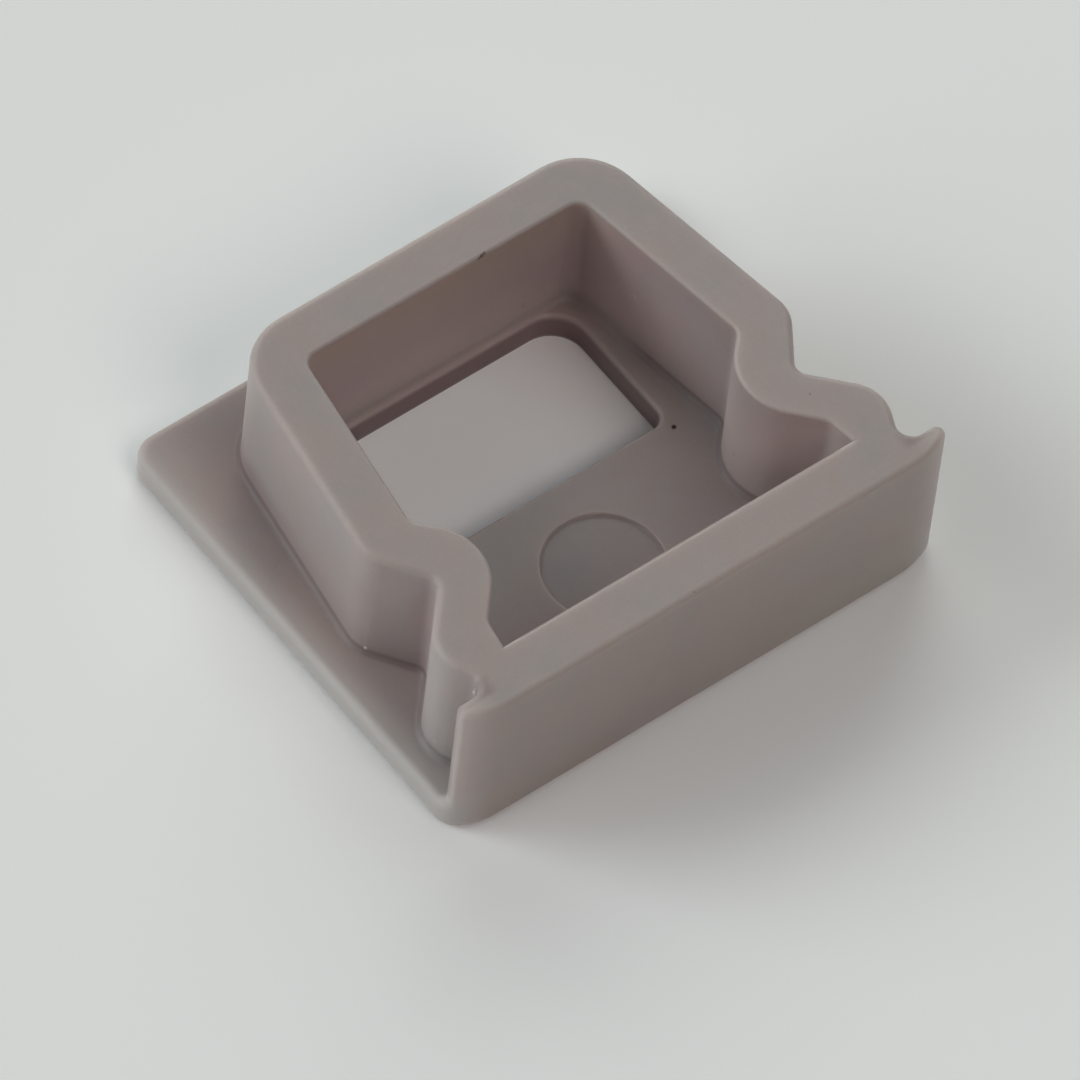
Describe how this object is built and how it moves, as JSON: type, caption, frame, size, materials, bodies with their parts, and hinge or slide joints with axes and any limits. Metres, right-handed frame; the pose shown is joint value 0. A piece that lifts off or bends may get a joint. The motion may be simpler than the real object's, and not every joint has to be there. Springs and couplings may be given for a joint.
{
  "type": "profile end cap",
  "caption": "End cap for an extruded profile: flat cover plate with a hollow snap-in plug ring, a full-width front lip and a rectangular cable hole.",
  "frame": {"origin": "middle of the cover plate's outer face", "axes": "+X along the lip, +Y from the lip towards the back wall, +Z out of the cover plate in the direction in which the plug goes into the profile"},
  "size_m": [0.0192, 0.0172, 0.0063],
  "materials": {
    "grey_plastic": "satin-matte injection-moulded plastic, warm grey, slightly translucent at thin edges"
  },
  "bodies": {
    "root": {"end_cap": "grey_plastic"}
  },
  "joints": []
}
